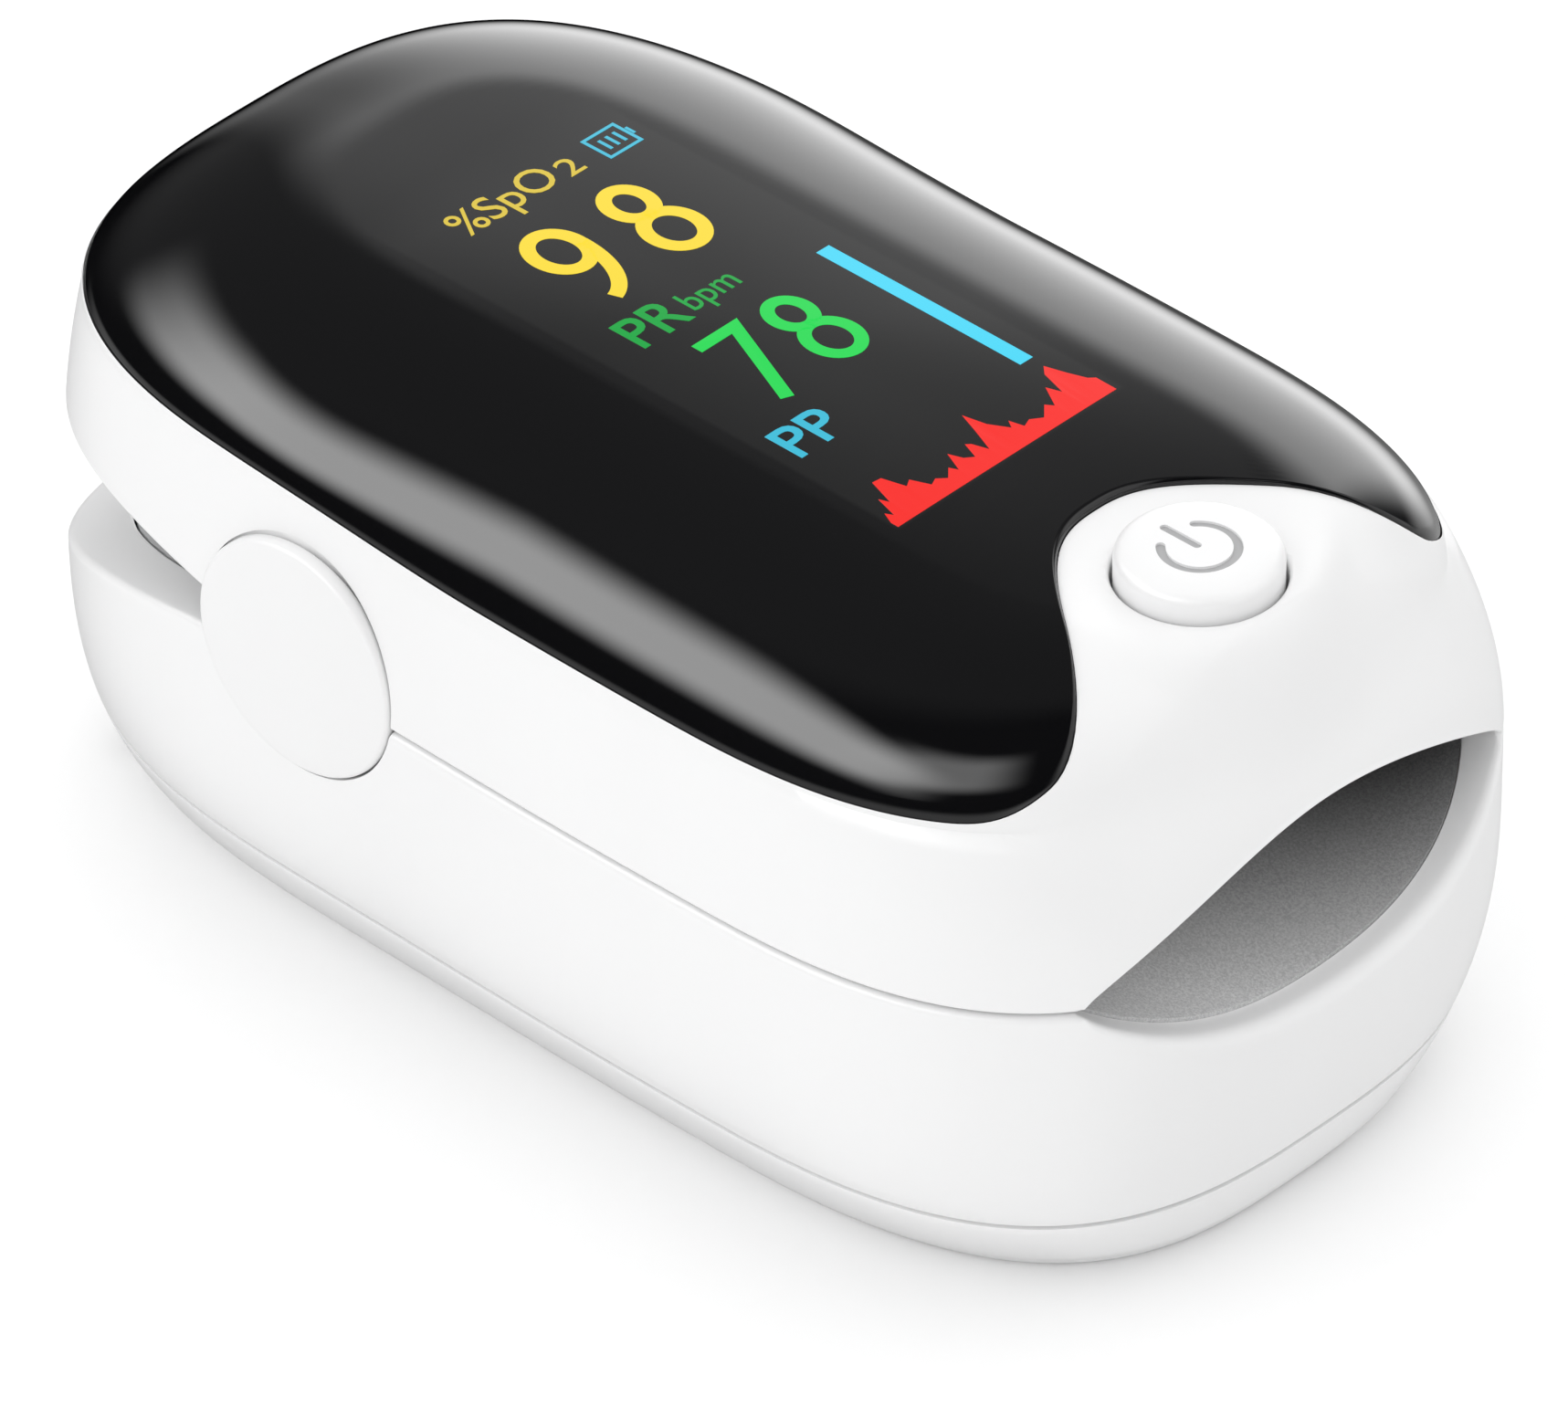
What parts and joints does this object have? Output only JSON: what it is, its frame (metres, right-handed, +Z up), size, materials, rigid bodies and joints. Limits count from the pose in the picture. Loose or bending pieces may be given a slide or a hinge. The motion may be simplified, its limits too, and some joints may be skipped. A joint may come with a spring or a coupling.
{
  "type": "fingertip pulse oximeter",
  "caption": "Palm-sized clip for a fingertip: white rounded housing in two sprung halves, glossy black display window on top, round power key, padded finger channel.",
  "frame": {"origin": "on the table, under the middle of the object", "axes": "+X out of the finger opening along the finger, +Y across to the left of someone looking out of the opening, +Z up"},
  "size_m": [0.0638, 0.037, 0.0296],
  "materials": {
    "white_shell": "satin white moulded housing",
    "white_button": "satin white key",
    "grey_frame": "fine matt light grey",
    "grey_silicone": "soft matt mid-grey silicone",
    "black_window": "high-gloss black, see-through over the display",
    "display_glass": "smooth dark glass",
    "black_foam": "closed-cell foam",
    "circuit_board": "green solder mask",
    "film_cable": "amber polyimide film",
    "chip_black": "moulded epoxy",
    "steel": "nickel-plated steel",
    "spring_wire": "drawn spring wire",
    "clear_epoxy": "clear potted epoxy",
    "emitter_body": "white ceramic-filled plastic",
    "cell_jacket": "shrink sleeve over a steel can"
  },
  "bodies": {
    "lower": {"lower_case": "white_shell", "base_shell": "white_shell", "lower_inner_frame": "grey_frame", "lower_pad": "grey_silicone", "sensor_window": "clear_epoxy", "photodiode": "chip_black", "sensor_board": "circuit_board", "flex_cable": "film_cable", "battery_left": "cell_jacket", "battery_right": "cell_jacket", "bridge_contact": "steel", "end_contact_left": "steel", "end_contact_right": "steel", "contact_spring_left": "spring_wire", "contact_spring_right": "spring_wire", "hinge_cap_left": "white_shell", "hinge_cap_right": "white_shell", "hinge_pin_left": "steel", "hinge_pin_right": "steel", "hinge_spring_left": "spring_wire", "hinge_spring_right": "spring_wire", "base_screw_left": "steel", "base_screw_right": "steel"},
    "upper": {"upper_case": "white_shell", "display_window": "black_window", "display_panel": "display_glass", "display_foam": "black_foam", "display_ribbon": "film_cable", "main_board": "circuit_board", "processor_chip": "chip_black", "analog_chip": "chip_black", "buzzer": "chip_black", "button_switch": "steel", "upper_inner_frame": "grey_frame", "upper_pad": "grey_silicone", "led_window": "clear_epoxy", "led_emitter": "emitter_body", "led_board": "circuit_board", "upper_screw_left": "steel", "upper_screw_right": "steel"},
    "button": {"power_button": "white_button"},
    "door": {"battery_door": "white_shell"}
  },
  "joints": [
    {"name": "jaw_hinge", "type": "hinge", "parent": "lower", "child": "upper", "pos_m": [-0.00975, 0, 0.01675], "axis": [0, -1, 0], "range_deg": [0, 15], "stiffness_Nm_per_rad": 0.12, "springref_deg": -34.38, "deforming": ["hinge_spring_left", "hinge_spring_right", "flex_cable"]},
    {"name": "key_press", "type": "slide", "parent": "upper", "child": "button", "axis": [0, 0, -1], "range_m": [0, 0.0005], "stiffness_N_per_m": 3000, "springref_m": -0.0003},
    {"name": "door_slide", "type": "slide", "parent": "lower", "child": "door", "axis": [-1, 0, 0], "range_m": [0, 0.058]}
  ]
}
